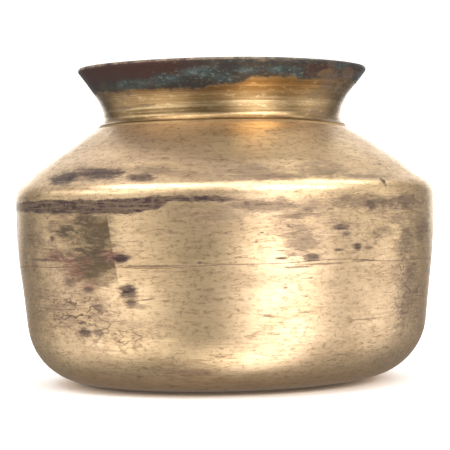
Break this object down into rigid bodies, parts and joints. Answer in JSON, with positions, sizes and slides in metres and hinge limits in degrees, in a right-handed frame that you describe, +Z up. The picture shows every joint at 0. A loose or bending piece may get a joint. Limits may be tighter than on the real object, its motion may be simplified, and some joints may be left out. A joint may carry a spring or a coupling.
{
  "type": "kalash water pot",
  "caption": "Wide-shouldered round brass water pot with a soft flat base, a beaten wall seamed round its middle and a flared neck with a rounded lip.",
  "frame": {"origin": "centre of the flat that the pot rests on", "axes": "+Z up along the pot's axis of revolution, out of the mouth; -Y is the side shown at the front"},
  "size_m": [0.24, 0.24, 0.1804],
  "materials": {
    "body_brass": "aged, hand beaten and scoured, with dark tarnish blotches",
    "neck_brass": "aged, turned, with red-brown and blue-green tarnish under the lip",
    "spelter": "dull red-brown brazing spelter"
  },
  "bodies": {
    "root": {"bottom_bowl": "body_brass", "shoulder_shell": "body_brass", "neck_collar": "neck_brass", "wall_seam_braze": "spelter", "neck_seam_braze": "spelter"}
  },
  "joints": []
}
